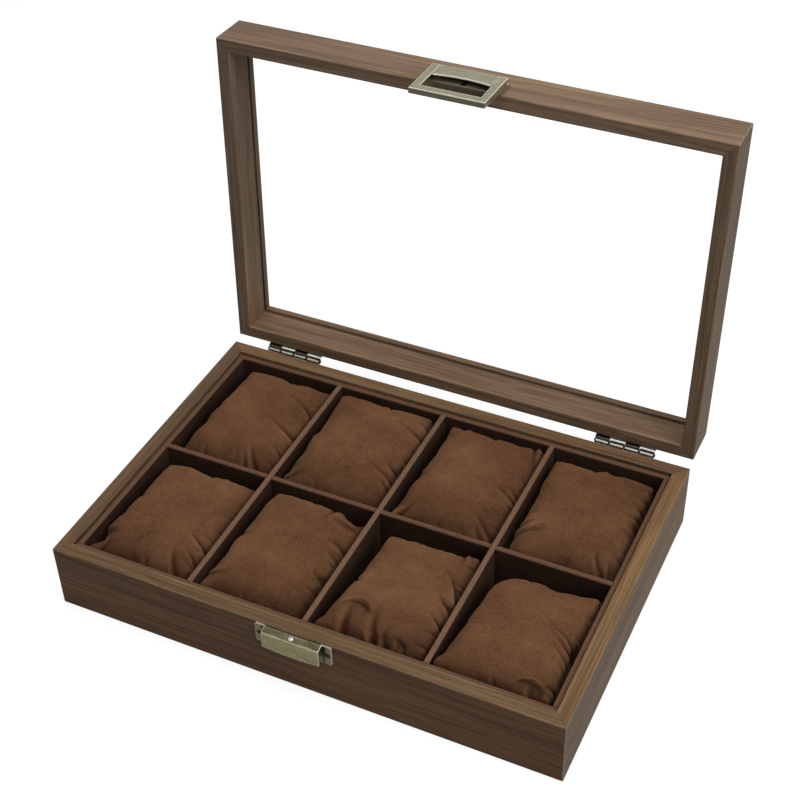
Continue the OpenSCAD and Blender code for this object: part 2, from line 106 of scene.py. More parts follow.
def aim(turn, rise, roll=0.0):
    """Rotation of something that looks at the box from that side, in degrees."""
    a, e, r = (math.radians(v) for v in (turn, rise, roll))
    back = Vector((math.sin(a) * math.cos(e), -math.cos(a) * math.cos(e), math.sin(e)))
    right = (-back).cross(Vector((0, 0, 1))).normalized()
    up = right.cross(-back)
    right, up = (
        right * math.cos(r) + up * math.sin(r),
        up * math.cos(r) - right * math.sin(r),
    )
    return Matrix((right, up, back)).transposed(), back


def make_camera():
    data = bpy.data.cameras.new("camera")
    data.lens = LENS
    data.sensor_width = 36
    data.clip_start = 0.01
    camera = bpy.data.objects.new("camera", data)
    turn, back = aim(VIEW_TURN, VIEW_RISE, VIEW_ROLL)
    camera.matrix_world = Matrix.Translation(VIEW_TARGET + back * VIEW_DISTANCE) @ turn.to_4x4()
    bpy.context.scene.collection.objects.link(camera)
    bpy.context.scene.camera = camera


def softbox(name, turn, rise, distance, size, level):
    """Square lamp aimed at the box; level is how bright it alone shows a white card."""
    data = bpy.data.lights.new(name, "AREA")
    data.size = size
    data.energy = level * math.pi**2 * distance**2
    lamp = bpy.data.objects.new(name, data)
    rotation, back = aim(turn, rise)
    lamp.matrix_world = Matrix.Translation(LAMP_TARGET + back * distance) @ rotation.to_4x4()
    bpy.context.scene.collection.objects.link(lamp)
    return lamp


def make_studio():
    softbox("key_softbox", 74, 34, 1.6, 1.0, 0.50)
    top = softbox("top_softbox", 200, 84, 1.15, 0.9, 0.62)
    top.visible_glossy = False
    softbox("front_softbox", -8, 58, 1.6, 0.9, 0.10)
    world = bpy.data.worlds.new("studio")
    bpy.context.scene.world = world
    world.use_nodes = True
    tree = world.node_tree
    room = tree.nodes["Background"]
    room.inputs["Color"].default_value = (*ROOM_COLOR, 1)
    room.inputs["Strength"].default_value = ROOM_LIGHT

    # what polished pieces see: a bright wall all round under a dark ceiling
    place = tree.nodes.new("ShaderNodeTexCoord")
    axes = tree.nodes.new("ShaderNodeSeparateXYZ")
    tree.links.new(place.outputs["Generated"], axes.inputs[0])
    wall = tree.nodes.new("ShaderNodeMapRange")
    wall.interpolation_type = "SMOOTHSTEP"
    tree.links.new(axes.outputs[2], wall.inputs[0])
    limits = (*CEILING_EDGE, WALL_GLOSS, CEILING_GLOSS)
    for socket, value in zip(list(wall.inputs)[1:5], limits):
        socket.default_value = value

    rays = tree.nodes.new("ShaderNodeLightPath")
    light = room.outputs[0]
    strengths = {
        "Is Glossy Ray": wall.outputs[0],
        "Is Camera Ray": 1.0,
        "Is Transmission Ray": 1.0,
    }
    for ray, strength in strengths.items():
        paper = tree.nodes.new("ShaderNodeBackground")
        if isinstance(strength, float):
            paper.inputs["Strength"].default_value = strength
        else:
            tree.links.new(strength, paper.inputs["Strength"])
        mix = tree.nodes.new("ShaderNodeMixShader")
        tree.links.new(rays.outputs[ray], mix.inputs[0])
        tree.links.new(light, mix.inputs[1])
        tree.links.new(paper.outputs[0], mix.inputs[2])
        light = mix.outputs[0]
    tree.links.new(light, tree.nodes["World Output"].inputs["Surface"])


def make_floor():
    signs = ((-1, -1), (1, -1), (1, 1), (-1, 1))
    corners = [(FLOOR_HALF * x, FLOOR_HALF * y, 0) for x, y in signs]
    floor = add_piece("floor", corners, [(0, 1, 2, 3)])
    paper = Finish("floor_paper")
    paper.set(Base_Color=(FLOOR_TONE, FLOOR_TONE, FLOOR_TONE), Roughness=1.0)
    paper.set(Specular_IOR_Level=0.0)
    rays = paper.add("ShaderNodeLightPath")
    seen = paper.math("MAXIMUM", rays.outputs["Is Camera Ray"], rays.outputs["Is Transmission Ray"])
    glow = paper.times(seen, FLOOR_GLOW)
    glow = paper.math("MULTIPLY_ADD", rays.outputs["Is Glossy Ray"], FLOOR_GLOSS, glow)
    paper.set(Emission_Color=(1, 1, 1), Emission_Strength=glow)
    floor.data.materials.append(paper.material)


# ---- Making finishes and pieces ----


class Finish:
    """A material, with short calls that add and join its nodes."""

    def __init__(self, name):
        self.material = bpy.data.materials.new(name)
        self.material.use_nodes = True
        tree = self.material.node_tree
        self.tree = tree
        self.shader = tree.nodes["Principled BSDF"]
        self.output = tree.nodes["Material Output"]
        self.place = self.add("ShaderNodeTexCoord").outputs["Object"]

    def add(self, kind, properties=None, **values):
        node = self.tree.nodes.new(kind)
        for name, value in (properties or {}).items():
            setattr(node, name, value)
        for name, value in values.items():
            self.feed(node.inputs[name.replace("_", " ")], value)
        return node

    def feed(self, socket, value):
        if isinstance(value, bpy.types.NodeSocket):
            self.link(value, socket)
        elif hasattr(value, "__len__") and len(value) == 3 and socket.type == "RGBA":
            socket.default_value = (*value, 1)
        else:
            socket.default_value = value

    def link(self, source, socket):
        self.tree.links.new(source, socket)

    def set(self, **values):
        for name, value in values.items():
            self.feed(self.shader.inputs[name.replace("_", " ")], value)

    def math(self, operation, a, b=0.0, c=0.0):
        node = self.add("ShaderNodeMath", {"operation": operation})
        for socket, value in zip(node.inputs, (a, b, c)):
            self.feed(socket, value)
        return node.outputs[0]

    def times(self, *values):
        """The values multiplied together."""
        product = values[0]
        for value in values[1:]:
            product = self.math("MULTIPLY", product, value)
        return product

    def less(self, a, b):
        return self.math("SUBTRACT", a, b)

    def rest(self, share):
        """What a share leaves of 1."""
        return self.less(1.0, share)

    def split(self, vector):
        node = self.add("ShaderNodeSeparateXYZ", Vector=vector)
        return node.outputs[0], node.outputs[1], node.outputs[2]

    def join(self, x, y, z):
        return self.add("ShaderNodeCombineXYZ", X=x, Y=y, Z=z).outputs[0]

    def stretch(self, vector, x, y, z, shift=(0, 0, 0)):
        node = self.add("ShaderNodeMapping", Vector=vector)
        node.inputs["Location"].default_value = shift
        node.inputs["Scale"].default_value = (x, y, z)
        return node.outputs[0]

    def noise(self, vector, scale=1.0, detail=2.0, roughness=0.5, distortion=0.0):
        node = self.add(
            "ShaderNodeTexNoise",
            Vector=vector,
            Scale=scale,
            Detail=detail,
            Roughness=roughness,
            Distortion=distortion,
        )
        return node.outputs["Fac"]

    def range(self, value, low, high, to_low=0.0, to_high=1.0, smooth=True):
        node = self.add(
            "ShaderNodeMapRange", {"interpolation_type": "SMOOTHSTEP" if smooth else "LINEAR"}
        )
        for socket, v in zip(node.inputs, (value, low, high, to_low, to_high)):
            self.feed(socket, v)
        return node.outputs[0]

    def fade(self, value, low, high, most=1.0):
        """most where the value is up to low, falling to 0 at high."""
        return self.range(value, low, high, most, 0.0)

    def ramp(self, value, stops):
        node = self.add("ShaderNodeValToRGB", Fac=value)
        points = node.color_ramp.elements
        while len(points) < len(stops):
            points.new(0.5)
        for point, (position, color) in zip(points, stops):
            point.position = position
            point.color = (*color, 1)
        return node.outputs[0]

    def mix(self, share, a, b, blend="MIX"):
        node = self.add("ShaderNodeMix", {"data_type": "RGBA", "blend_type": blend})
        self.feed(node.inputs[0], share)
        self.feed(node.inputs[6], a)
        self.feed(node.inputs[7], b)
        return node.outputs[2]

    def dim(self, color, share):
        return self.mix(1.0, color, self.join(share, share, share), "MULTIPLY")

    def edge_wear_and_highlight(self, radius, low, high):
        """1 along the edges of the piece, and the normal that rounds them off."""
        plain = self.add("ShaderNodeNewGeometry").outputs["Normal"]
        round_off = self.add("ShaderNodeBevel", {"samples": 6}, Radius=radius)
        dot = self.add("ShaderNodeVectorMath", {"operation": "DOT_PRODUCT"})
        self.link(plain, dot.inputs[0])
        self.link(round_off.outputs[0], dot.inputs[1])
        gap = self.rest(dot.outputs["Value"])
        return self.range(gap, low, high), round_off.outputs[0]

    def bump(self, height, distance, strength, normal=None):
        node = self.add("ShaderNodeBump", Height=height, Distance=distance, Strength=strength)
        if normal is not None:
            self.link(normal, node.inputs["Normal"])
        self.link(node.outputs[0], self.shader.inputs["Normal"])


def add_piece(name, points, faces):
    """A mesh object whose own origin is at the origin."""
    mesh = bpy.data.meshes.new(name)
    mesh.from_pydata(points, [], faces)
    mesh.update()
    piece = bpy.data.objects.new(name, mesh)
    bpy.context.scene.collection.objects.link(piece)
    return piece


def coat(names, finish):
    """Gives a finish to nodes of the frame."""
    for name in names:
        data = NODES[name].data
        data.materials.clear()
        data.materials.append(finish.material)


# ---- Wood-grain wrap ----

FACE_DEPTH = 0.5 * MM  # how deep the shade of a face's strip reaches
DARK_SEAM = (0.040, 0.024, 0.014)
RUBBED_WOOD = (0.34, 0.27, 0.19)
DEEP_SHADE = (0.012, 0.007, 0.005)
# painted shadow of the latch frame on the lid's front rail
LATCH_SHADOW = (0.030, 0.024, 0.016)

# painted light and shade on each face's strip, with some tone that differs between boards: those of
# the base, then those of the lid
FACE_LIGHT_TABLE = {
    "front": (
        {"outer": (1.26, 1.10, 1.06), "top": (1.34, 1.34, 1.27)},
        {"outer": (1.45, 1.50, 1.66), "low": (1.42, 1.50, 1.74), "inner": (1.4, 1.4, 1.5)},
    ),
    "back": (
        {"outer": (1.2, 1.15, 1.1), "top": (1.45, 1.38, 1.30)},
        {"outer": (1.5, 1.5, 1.6), "low": (1.65, 1.75, 1.95), "inner": (2.05, 2.08, 2.25)},
    ),
    "left": (
        {"outer": (1.15, 1.1, 1.1), "top": (1.0, 0.95, 0.9)},
        {"outer": (1.3, 1.3, 1.4), "low": (1.24, 1.35, 1.65), "inner": (1.45, 1.52, 1.65)},
    ),
    "right": (
        {"outer": (1.18, 1.16, 1.10), "top": (1.66, 1.53, 1.27)},
        {"outer": (1.18, 1.28, 1.32), "low": (1.34, 1.46, 1.60), "inner": (1.3, 1.3, 1.4)},
    ),
}

LID_SHIFT = 11.3  # the lid is cut from another part of the print than the base
LID_GLOSS = 0.2

# sides with painted light that falls off from one end to the other
PAINTED_FALLOFF = {"lid_back_rail_wrap": (1.02, 0.78), "right_wall_wrap": (0.93, 1.20)}


def closed_place(finish):
    """Coordinates on the lid as it lies when it is shut."""
    turn = finish.add(
        "ShaderNodeVectorRotate",
        {"rotation_type": "X_AXIS"},
        Vector=finish.place,
        Center=LID_HINGE,
        Angle=LID_ANGLE,
    )
    return turn.outputs[0]


def wood_grain(wrap, place, run, across, up, shift):
    """Colour of the printed grain, its streaks and its fine lines."""
    # slow waves in the grain
    wave = wrap.noise(wrap.stretch(place, 8, 8, 8, shift), 1.0, 2.0)
    drift = wrap.times(wrap.less(wave, 0.5), 6 * MM)
    grain = wrap.join(run, wrap.math("ADD", across, drift), wrap.math("ADD", up, drift))

    bands = wrap.noise(wrap.stretch(grain, 3, 70, 70, shift), 1.0, 2.0, 0.5)
    streaks = wrap.noise(wrap.stretch(grain, 8, 330, 330, shift), 1.0, 3.0, 0.6)
    lines = wrap.noise(wrap.stretch(grain, 12, 900, 900, shift), 1.0, 2.0, 0.6)
    pores = wrap.noise(wrap.stretch(grain, 80, 2300, 2300, shift), 1.0, 1.0)
    blend = wrap.math("MULTIPLY_ADD", bands, 0.34, wrap.times(streaks, 0.33))
    blend = wrap.math("MULTIPLY_ADD", lines, 0.33, blend)
    color = wrap.ramp(
        wrap.range(blend, 0.26, 0.74, smooth=False),
        [
            (0.05, (0.054, 0.030, 0.016)),
            (0.38, (0.104, 0.062, 0.034)),
            (0.62, (0.152, 0.095, 0.053)),
            (0.95, (0.228, 0.146, 0.080)),
        ],
    )
    fine = wrap.times(
        wrap.range(lines, 0.30, 0.55, 0.84, 1.04), wrap.range(pores, 0.3, 0.5, 0.86, 1.0)
    )
    return wrap.dim(color, fine), streaks, lines


def wood_wrap(name, along, opened, thickness, low, high, shift, face_light_and_tone, gloss):
    """Grain-printed wrap on one side of the base or the lid.

    along is the axis that the grain follows. low and high are the side's height.
    The shades of the strips on the outer, inner, top and lower faces are painted light and shade,
    with some tone that differs between boards.
    """
    wrap = Finish(name)
    place = closed_place(wrap) if opened else wrap.place
    x, y, z = wrap.split(place)
    run, across = (x, y) if along == "x" else (y, x)
    color, streaks, lines = wood_grain(wrap, place, run, across, z, shift)

    # distances from the faces, for the strips, the mitre seams and the worn arrises
    from_side = wrap.less(BOX_W / 2, wrap.math("ABSOLUTE", x))
    from_end = wrap.less(BOX_D / 2, wrap.math("ABSOLUTE", y))
    inward = wrap.math("MINIMUM", from_side, from_end)
    outward = wrap.less(thickness, inward)
    from_top = wrap.less(high, z)
    from_low = wrap.less(z, low)
    # painted light and shade on each face, with the boards' tone
    painted_face_light = wrap.mix(wrap.fade(inward, 0.0, FACE_DEPTH), face_light_and_tone["inner"], face_light_and_tone["outer"])
    painted_face_light = wrap.mix(wrap.fade(from_low, 0.0, FACE_DEPTH), painted_face_light, face_light_and_tone["low"])
    painted_face_light = wrap.mix(wrap.fade(from_top, 0.0, FACE_DEPTH), painted_face_light, face_light_and_tone["top"])
    color = wrap.mix(1.0, color, painted_face_light, "MULTIPLY")
    # painted falloff of light along the side
    if name in PAINTED_FALLOFF:
        half = (BOX_W if along == "x" else BOX_D) / 2
        color = wrap.dim(color, wrap.range(run, -half, half, *PAINTED_FALLOFF[name], smooth=False))

    mitre = wrap.math("ABSOLUTE", wrap.less(from_side, from_end))
    seam = wrap.fade(mitre, 0.0, 0.4 * MM, 0.35)
    color = wrap.mix(seam, color, DARK_SEAM)
    edge_lightness = wrap.noise(wrap.stretch(place, 60, 60, 60, shift), 1.0, 3.0)
    corner = wrap.times(
        wrap.fade(wrap.math("MAXIMUM", from_side, from_end), 0.0, 1.1 * MM),
        wrap.range(edge_lightness, 0.30, 0.6, 0.5, 0.95),
    )
    arris = wrap.times(
        wrap.fade(wrap.math("MINIMUM", inward, outward), 0.0, 0.9 * MM),
        wrap.fade(wrap.math("MINIMUM", from_top, from_low), 0.0, 0.9 * MM),
        wrap.range(edge_lightness, 0.35, 0.65, 0.05, 0.45),
    )
    color = wrap.mix(wrap.math("MAXIMUM", arris, corner), color, RUBBED_WOOD)
    if not opened:
        # painted shade in the narrow groove between the wall and its lining
        groove = wrap.times(
            wrap.fade(outward, 0.0, 0.55 * MM), wrap.fade(from_top, 0.0, 1.6 * MM, 0.85)
        )
        color = wrap.mix(groove, color, DEEP_SHADE)
    elif name == "lid_front_rail_wrap":
        # painted shadow of the latch frame on the wood behind the latch
        behind = wrap.times(
            wrap.fade(wrap.math("ABSOLUTE", x), 15 * MM, 17.5 * MM),
            wrap.fade(from_low, 8 * MM, 14 * MM, 0.6),
        )
        color = wrap.mix(behind, color, LATCH_SHADOW)

    wrap.set(Base_Color=color, Roughness=wrap.range(streaks, 0.3, 0.7, 0.42, 0.56))
    wrap.set(Specular_IOR_Level=gloss)
    wrap.bump(wrap.math("MULTIPLY_ADD", lines, 0.8, streaks), 0.05 * MM, 0.5)
    return wrap


def finish_wood():
    # side, axis of the grain, place in the print, gloss
    sides = (
        ("front", "x", (0.13, 0.71, 0.35), 0.10),
        ("back", "x", (3.4, 1.2, 0.8), 0.18),
        ("left", "y", (5.1, 2.9, 1.7), 0.22),
        ("right", "y", (7.7, 4.3, 3.1), 0.22),
    )
    lid_low, lid_top = RIM_Z + LID_GAP, RIM_Z + LID_GAP + LID_H
    for side, along, shift, gloss in sides:
        # each face's painted light and shade, for the base and then for the lid
        base, lid = (
            {face: strip.get(face, strip["outer"]) for face in ("outer", "inner", "top", "low")}
            for strip in FACE_LIGHT_TABLE[side]
        )
        wall = wood_wrap(
            f"{side}_wall_wrap", along, False, WALL_T, 0, RIM_Z, shift, base, gloss
        )
        coat([f"{side}_wall"], wall)
        shift = tuple(s + LID_SHIFT for s in shift)
        rail = wood_wrap(
            f"lid_{side}_rail_wrap", along, True, RAIL_T, lid_low, lid_top, shift, lid, LID_GLOSS
        )
        coat([f"lid_{side}_rail"], rail)


# ---- Other finishes of the frame's nodes ----


def lining_finish(name, edge):
    """Dark suede cloth whose top edges are painted lighter, as if lit from above."""
    cloth = Finish(name)
    z = cloth.split(cloth.place)[2]
    nap = cloth.noise(cloth.place, 700, 4.0, 0.7)
    patches = cloth.noise(cloth.place, 45, 3.0, 0.6)
    color = cloth.ramp(patches, [(0.3, (0.024, 0.011, 0.008)), (0.7, (0.040, 0.020, 0.014))])
    # painted light on the top edges
    lit_top = cloth.times(
        cloth.range(z, LINING_TOP - 1.6 * MM, LINING_TOP - 0.3 * MM),
        cloth.range(nap, 0.25, 0.6, 0.6, 1.0),
    )
    color = cloth.mix(lit_top, color, edge)
    color = cloth.mix(cloth.range(nap, 0.35, 0.75, 0.0, 0.25), color, (0.10, 0.056, 0.038))
    cloth.set(Base_Color=color, Roughness=0.95, Specular_IOR_Level=0.05)
    cloth.set(Sheen_Weight=0.08, Sheen_Roughness=0.4, Sheen_Tint=(0.8, 0.5, 0.35))
    cloth.bump(nap, 0.12 * MM, 0.7)
    return cloth


def board_finish():
    board = Finish("fibreboard")
    fibres = board.noise(board.stretch(board.place, 300, 300, 300), 1.0, 5.0, 0.7)
    color = board.ramp(fibres, [(0.3, (0.25, 0.16, 0.09)), (0.7, (0.40, 0.28, 0.17))])
    board.set(Base_Color=color, Roughness=0.8)
    board.bump(fibres, 0.1 * MM, 0.4)
    return board


def felt_finish():
    felt = Finish("underside_felt")
    fibres = felt.noise(felt.place, 900, 5.0, 0.75, 1.5)
    patches = felt.noise(felt.place, 60, 3.0)
    color = felt.ramp(fibres, [(0.3, (0.014, 0.011, 0.009)), (0.75, (0.050, 0.040, 0.032))])
    color = felt.mix(felt.range(patches, 0.3, 0.7, 0.0, 0.3), color, (0.06, 0.048, 0.038))
    felt.set(Base_Color=color, Roughness=1.0, Specular_IOR_Level=0.1, Sheen_Weight=0.3)
    felt.bump(fibres, 0.2 * MM, 0.9)
    return felt


def shut_points(name):
    """The points of one of the lid's nodes as they lie when it is shut."""
    turn = Matrix.Rotation(LID_ANGLE, 3, "X")
    return [turn @ (v.co - LID_HINGE) + LID_HINGE for v in NODES[name].data.vertices]


HOOK_END = min(p.z for p in shut_points("latch_frame"))
FRAME_OUT = -BOX_D / 2 - min(p.y for p in shut_points("latch_frame"))
HOOD_BOW = 1.8 * MM
HOOD_BOW_R = CHANNEL_HALF**2 / (2 * HOOD_BOW) + HOOD_BOW / 2
HOOD_EDGE = (
    min(p.z for p in shut_points("latch_plate") if p.y < -BOX_D / 2 - 3.5 * MM) + HOOD_BOW
)

HOOD_SHADOW = 0.85  # how much of the plating the painted shadow under the hood hides
# painted shade on the hinge leaves
SHADED_LEAF = (0.050, 0.042, 0.032)
CREST = (-0.77, 0.64)  # side of the knuckles whose crest gets a painted highlight, as Y and Z
ROUNDED = (0.8 * MM, 0.012, 0.07)
CRISP = (0.25 * MM, 0.06, 0.25)


def metal_finish(
    name,
    dark,
    light,
    roughness,
    brushing,
    edge=None,
    tarnish=None,
    metallic=0.9,
    bevel=ROUNDED,
    painted_light_and_shade=None,
):
    """Plated sheet metal: fine brushing, clouds of tarnish, bright edges that are partly rubbed and
    partly painted highlight.

    edge is the colour of the bright edges, partly rubbed and partly painted highlight, and bevel
    their radius and the two limits between which they brighten. The last argument paints light and
    shade on one kind of fitting, in its colour, its bright edges and its shine.
    """
    metal = Finish(name)
    clouds = metal.noise(metal.place, 260, 4.0, 0.6)
    lines = metal.noise(metal.stretch(metal.place, 160, 2600, 2600), 1.0, 2.0, 0.6)
    tone = metal.math("MULTIPLY_ADD", lines, 0.5, metal.times(clouds, 0.5))
    color = metal.ramp(tone, [(0.36, dark), (0.64, light)])
    if tarnish:
        stain = metal.noise(metal.place, 420, 5.0, 0.65)
        color = metal.mix(metal.range(stain, 0.57, 0.72, 0.0, 0.45), color, tarnish)
    edge_lightness, normal = metal.edge_wear_and_highlight(*bevel)
    shine = metallic
    if painted_light_and_shade:
        color, edge_lightness, shine = painted_light_and_shade(metal, color, edge_lightness, metallic)
    # bright edges, partly rubbed brass and partly painted highlight, with less metallic shine
    if edge:
        color = metal.mix(edge_lightness, color, edge)
        shine = metal.times(shine, metal.range(edge_lightness, 0.0, 1.0, 1.0, 0.1))
    metal.set(Base_Color=color, Metallic=shine)
    metal.set(Roughness=metal.range(clouds, 0.3, 0.7, roughness - 0.06, roughness + 0.08))
    metal.bump(lines, 0.02 * MM, brushing, normal)
    return metal


def hinge_light_and_shade(metal, color, edge_lightness, metallic):
    """Painted shade on the leaves, and painted highlights on the knuckles' crests and the stop
    lugs' tips.
    """
    x, y, z = metal.split(metal.place)
    out = metal.less(y, LID_HINGE.y)
    up = metal.less(z, LID_HINGE.z)
    gap = metal.math("SQRT", metal.math("MULTIPLY_ADD", out, out, metal.times(up, up)))
    facing = metal.math("MULTIPLY_ADD", out, CREST[0], metal.times(up, CREST[1]))
    from_end = metal.less(metal.math("ABSOLUTE", x), HINGE_START)
    knuckle = metal.math("FRACT", metal.math("DIVIDE", from_end, KNUCKLE_PITCH))
    # painted highlight on each knuckle's crest, on its front and upper side
    crest = metal.times(
        metal.range(metal.math("DIVIDE", facing, gap), 0.80, 0.93),
        metal.fade(gap, KNUCKLE_R, KNUCKLE_R + 0.2 * MM),
        metal.range(metal.math("MINIMUM", knuckle, metal.rest(knuckle)), 0.05, 0.11),
    )
    # painted highlight on the stop lugs' tips
    tip = metal.times(
        metal.range(up, LUG_TOP - 0.14 * MM, LUG_TOP - 0.06 * MM),
        metal.fade(up, LUG_TOP + 0.05 * MM, LUG_TOP + 0.1 * MM),
    )
    edge_lightness = metal.math("MAXIMUM", metal.times(edge_lightness, 0.3), tip)
    # the leaves take the painted shade, the crests keep the plating
    return metal.mix(crest, SHADED_LEAF, color), edge_lightness, metallic


def latch_light_and_shade(metal, color, edge_lightness, metallic):
    """Painted shade on the plate under the hood and on the frame's hook end, and two painted
    highlight lines.
    """
    x, y, z = metal.split(closed_place(metal))
    from_rail = metal.less(-BOX_D / 2, y)
    # painted shadow on the plate under the hood, with less shine
    behind = metal.fade(from_rail, 0.85 * MM, 1.1 * MM, HOOD_SHADOW)
    color = metal.mix(behind, color, (0.066, 0.054, 0.036))
    edge_lightness = metal.times(edge_lightness, metal.rest(behind))
    shine = metal.range(behind, 0.0, HOOD_SHADOW, metallic, 0.1)
    metal.set(Specular_IOR_Level=metal.range(behind, 0.0, HOOD_SHADOW, 0.5, 0.03))

    # painted shade on the frame's lower edge above its hook end, and a painted highlight line there
    rise = metal.less(z, HOOK_END)
    under = metal.fade(rise, 0.1 * MM, 0.25 * MM, 0.75)
    color = metal.mix(under, color, (0.105, 0.092, 0.060))
    edge_lightness = metal.times(edge_lightness, metal.rest(under))
    line = metal.times(
        metal.range(rise, 0.15 * MM, 0.3 * MM),
        metal.fade(rise, 0.7 * MM, 0.9 * MM, 0.8),
        metal.range(from_rail, FRAME_OUT - 0.5 * MM, FRAME_OUT - 0.3 * MM),
    )

    # painted highlight along the hood's hollowed lower edge
    sag = metal.math("MULTIPLY_ADD", x, metal.times(x, -1.0), HOOD_BOW_R**2)
    hollow = metal.math("ADD", metal.math("SQRT", sag), HOOD_EDGE - HOOD_BOW_R)
    above = metal.less(z, hollow)
    arc = metal.times(
        metal.range(above, -0.15 * MM, -0.05 * MM),
        metal.fade(above, 0.35 * MM, 0.55 * MM, 0.75),
        metal.range(from_rail, 2 * MM, 2.2 * MM),
        metal.fade(metal.math("ABSOLUTE", x), CHANNEL_HALF, CHANNEL_HALF + 0.1 * MM),
    )
    edge_lightness = metal.math("MAXIMUM", edge_lightness, metal.math("MAXIMUM", line, arc))
    return color, edge_lightness, shine


def shade_ears(metal, color, edge_lightness, metallic):
    """The catch's ears are darker, with painted shade deepest beside its channel, and its top edge
    gets painted shade too.
    """
    x, y = metal.split(metal.place)[:2]
    out = metal.less(metal.math("ABSOLUTE", x), CHANNEL_HALF)
    on_plate = metal.fade(metal.less(-BOX_D / 2, y), EAR_T, 1.3 * EAR_T)
    # painted shade on the ears, strongest beside the channel
    ear = metal.times(
        metal.range(out, -0.05 * MM, 0.05 * MM),
        metal.range(out, 0.5 * MM, 3.5 * MM, 0.95, 0.35),
        on_plate,
    )
    color = metal.mix(ear, color, (0.040, 0.034, 0.022))
    middle = metal.times(on_plate, metal.fade(out, -0.6 * MM, -0.2 * MM))
    color = metal.mix(metal.times(middle, 0.8), color, (0.105, 0.096, 0.050))
    return color, metal.times(edge_lightness, metal.rest(middle)), metallic


METALS = (
    # nodes, name, dark and light shades, roughness, brushing, and what else there is
    (
        ["catch_plate"],
        ("antique_brass", (0.25, 0.222, 0.110), (0.44, 0.400, 0.222), 0.32, 0.35),
        {
            "edge": (1.0, 0.95, 0.76),
            "tarnish": (0.20, 0.180, 0.095),
            "metallic": 0.88,
            "painted_light_and_shade": shade_ears,
        },
    ),
    (
        ["latch_plate", "latch_frame"],
        ("antique_brass_pale", (0.33, 0.308, 0.205), (0.55, 0.520, 0.370), 0.34, 0.35),
        {
            "edge": (1.0, 0.96, 0.80),
            "tarnish": (0.23, 0.212, 0.138),
            "metallic": 0.86,
            "painted_light_and_shade": latch_light_and_shade,
        },
    ),
    (
        ["catch_screws", "latch_screws"],
        ("dark_brass", (0.02, 0.018, 0.013), (0.07, 0.06, 0.04), 0.42, 0.2),
        {},
    ),
    (
        [
            f"hinge_{side}_{part}"
            for side in ("left", "right")
            for part in ("base_leaf", "lid_leaf", "pin")
        ],
        ("nickel", (0.50, 0.46, 0.39), (0.66, 0.62, 0.54), 0.24, 0.0),
        {"edge": (0.95, 0.93, 0.88), "bevel": CRISP, "painted_light_and_shade": hinge_light_and_shade},
    ),
    (
        ["base_hinge_screws", "lid_hinge_screws", "latch_pin"],
        ("screw_steel", (0.20, 0.18, 0.15), (0.42, 0.39, 0.34), 0.3, 0.2),
        {},
    ),
    (
        ["catch_stud"],
        ("polished_nickel", (0.80, 0.78, 0.72), (0.95, 0.93, 0.88), 0.16, 0.0),
        {},
    ),
    (
        ["latch_spring"],
        ("spring_steel", (0.05, 0.04, 0.032), (0.14, 0.12, 0.095), 0.40, 0.3),
        {},
    ),
)


def glass_finish():
    """Thin clear pane: plain transparency with a clean reflection."""
    pane = Finish("clear_glass")
    smears = pane.noise(pane.place, 14, 3.0, 0.6)
    pane.set(Base_Color=pane.ramp(smears, [(0.2, (0.99, 0.995, 0.99)), (0.8, (1, 1, 1))]))
    pane.set(Roughness=0.0, IOR=1.45, Transmission_Weight=1.0, Specular_IOR_Level=0.35)
    clear = pane.add("ShaderNodeBsdfTransparent", Color=(0.995, 1, 0.997))
    gleam = pane.add("ShaderNodeBsdfGlossy", Roughness=0.02)
    slant = pane.add("ShaderNodeFresnel", IOR=1.35).outputs[0]
    leaving = pane.add("ShaderNodeNewGeometry").outputs["Backfacing"]
    pane_mix = pane.add("ShaderNodeMixShader")
    pane.link(pane.times(slant, pane.rest(leaving)), pane_mix.inputs[0])
    pane.link(clear.outputs[0], pane_mix.inputs[1])
    pane.link(gleam.outputs[0], pane_mix.inputs[2])
    pane.link(pane_mix.outputs[0], pane.output.inputs["Surface"])
    return pane


def finish_frame():
    finish_wood()
    liners = [f"liner_{side}" for side in ("front", "back", "left", "right")]
    dividers = [f"cross_divider_{i}" for i in (1, 2, 3)]
    coat(
        ["tray_floor", "long_divider", *liners],
        lining_finish("lining_suede", (0.158, 0.084, 0.051)),
    )
    # a copy whose tops carry more painted light, for the cross dividers
    coat(dividers, lining_finish("divider_suede_lit", (0.215, 0.120, 0.075)))
    coat(["bottom_panel"], board_finish())
    coat(["bottom_felt"], felt_finish())
    coat(["lid_glass"], glass_finish())
    for nodes, plating, more in METALS:
        coat(nodes, metal_finish(*plating, **more))


# ---- Cushions ----
#
# Each cushion is two flat suede panels sewn together at their edges and blown up
# by a cloth simulation. Folds, puckers and pinched corners are then pressed in.
# u runs from -1 at a cushion's left edge to 1 at its right, v from front to back.

ACROSS, ALONG = 44, 58  # squares of one panel
FLAT = Vector((80 * MM, 101 * MM))  # a panel before it is filled
STEPS = 22
ENLARGE = 20.0  # the simulation works best on pieces about a metre wide
DRAWN_IN = 0.03  # how far a cover's sides or corners stand in, as a share of its size
START_FILL = 0.37
FULLNESS = 0.92  # how far the pulled-in sides of a filled cover are moved out again
SQUARENESS = 1.7
RUMPLE = 0.7
SPARE = (1.4 * MM, 2.0 * MM, 0.5 * MM)  # how far a cushion may pass its box on each axis
SOFTNESS = 2 * MM


